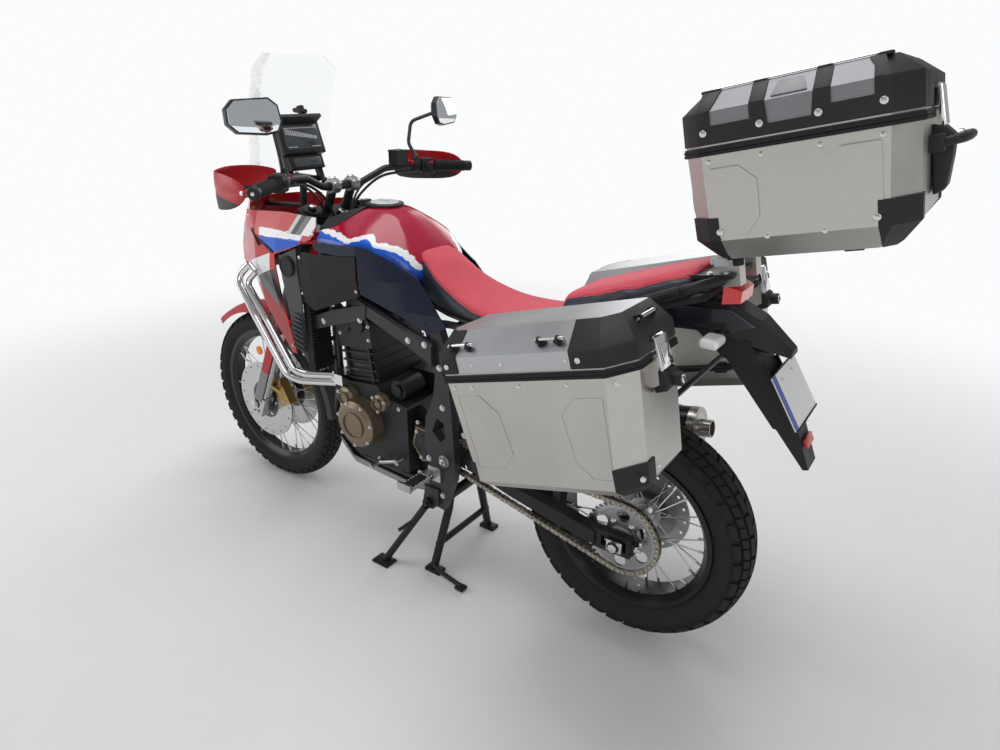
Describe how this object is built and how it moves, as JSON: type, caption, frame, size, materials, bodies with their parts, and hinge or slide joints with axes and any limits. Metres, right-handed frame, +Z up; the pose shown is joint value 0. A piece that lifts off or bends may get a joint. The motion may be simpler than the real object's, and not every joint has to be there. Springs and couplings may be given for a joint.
{
  "type": "adventure motorcycle",
  "caption": "Adventure motorcycle parked on its centre stand, with aluminium side cases and top case; wheels, steering, stands and case lids move.",
  "frame": {"origin": "on the ground under the middle of the whole motorcycle's box", "axes": "+X forward, +Y to the rider's left, +Z up"},
  "size_m": [2.4598, 0.966, 1.602],
  "materials": {
    "frame_grey": "satin",
    "black_metal": "satin",
    "engine_dark": "satin",
    "bronze_cover": "satin",
    "radiator_black": "matte",
    "red_paint": "gloss",
    "black_gloss": "gloss",
    "black_plastic": "matte",
    "clear_lens": "clear",
    "screen": "clear",
    "seat_red": "suede",
    "aluminium": "brushed",
    "polished_steel": "polished",
    "steel": "brushed",
    "skid": "satin",
    "tail_red": "gloss",
    "plate_white": "gloss",
    "tyre_rubber": "matte",
    "rim_black": "satin",
    "lid_black": "satin",
    "mirror_black": "gloss",
    "hand_red": "satin"
  },
  "bodies": {
    "chassis": {"main_frame": "frame_grey", "seat_rail": "black_metal", "engine": "engine_dark", "engine_covers": "bronze_cover", "radiators": "radiator_black", "fuel_tank": "red_paint", "side_fairings": "red_paint", "side_covers": "black_gloss", "front_cowl": "red_paint", "headlamps": "clear_lens", "windscreen": "screen", "dash": "black_plastic", "rider_seat": "seat_red", "passenger_seat": "seat_red", "rear_rack": "black_plastic", "case_plate": "aluminium", "rear_mudguard": "black_plastic", "tail_lamp": "tail_red", "number_plate": "plate_white", "plate_bracket": "black_plastic", "indicators": "clear_lens", "crash_bars": "polished_steel", "skid_plate": "skid", "exhaust": "steel", "case_rails": "black_metal", "case_left_body": "aluminium", "case_right_body": "aluminium", "top_case_body": "aluminium", "case_guards": "black_plastic", "foot_rests": "steel", "swingarm": "black_metal", "drive_chain": "steel", "rear_axle_and_caliper": "steel", "shock": "steel"},
    "steering": {"yokes": "black_metal", "fork_legs": "rim_black", "front_mudguard": "red_paint", "fork_guards": "hand_red", "handlebar": "black_metal", "hand_guards": "hand_red", "mirrors": "mirror_black", "front_axle_and_calipers": "engine_dark"},
    "front_wheel": {"front_tyre": "tyre_rubber", "front_rim": "rim_black", "front_discs": "steel"},
    "rear_wheel": {"rear_tyre": "tyre_rubber", "rear_rim": "rim_black", "rear_sprocket_and_disc": "steel"},
    "centre_stand": {"centre_stand": "black_metal"},
    "side_stand": {"side_stand": "black_metal"},
    "left_lid": {"case_left_lid": "lid_black"},
    "right_lid": {"case_right_lid": "lid_black"},
    "top_lid": {"top_case_lid": "lid_black"}
  },
  "joints": [
    {"name": "steering_head", "type": "hinge", "parent": "chassis", "child": "steering", "pos_m": [0.4395, 0, 1.1], "axis": [-0.4462, 0, 0.8949], "range_deg": [-42, 42]},
    {"name": "front_axle", "type": "hinge", "parent": "steering", "child": "front_wheel", "pos_m": [0.882, 0, 0.348], "axis": [0, 1, 0], "continuous": true},
    {"name": "rear_axle", "type": "hinge", "parent": "chassis", "child": "rear_wheel", "pos_m": [-0.693, 0, 0.362], "axis": [0, 1, 0], "continuous": true},
    {"name": "centre_stand_pivot", "type": "hinge", "parent": "chassis", "child": "centre_stand", "pos_m": [-0.078, 0, 0.27], "axis": [0, 1, 0], "range_deg": [0, 75]},
    {"name": "side_stand_pivot", "type": "hinge", "parent": "chassis", "child": "side_stand", "pos_m": [-0.043, 0.158, 0.262], "axis": [0, 1, 0], "range_deg": [0, 100], "stiffness_Nm_per_rad": 4, "springref_deg": -28.65},
    {"name": "left_lid_hinge", "type": "hinge", "parent": "chassis", "child": "left_lid", "pos_m": [-0.34262, 0.365, 0.89549], "axis": [0, 1, 0], "range_deg": [0, 70]},
    {"name": "right_lid_hinge", "type": "hinge", "parent": "chassis", "child": "right_lid", "pos_m": [-0.34262, -0.365, 0.89549], "axis": [0, 1, 0], "range_deg": [0, 70]},
    {"name": "top_lid_hinge", "type": "hinge", "parent": "chassis", "child": "top_lid", "pos_m": [-0.78501, 0, 1.39875], "axis": [0, 1, 0], "range_deg": [0, 70]}
  ]
}
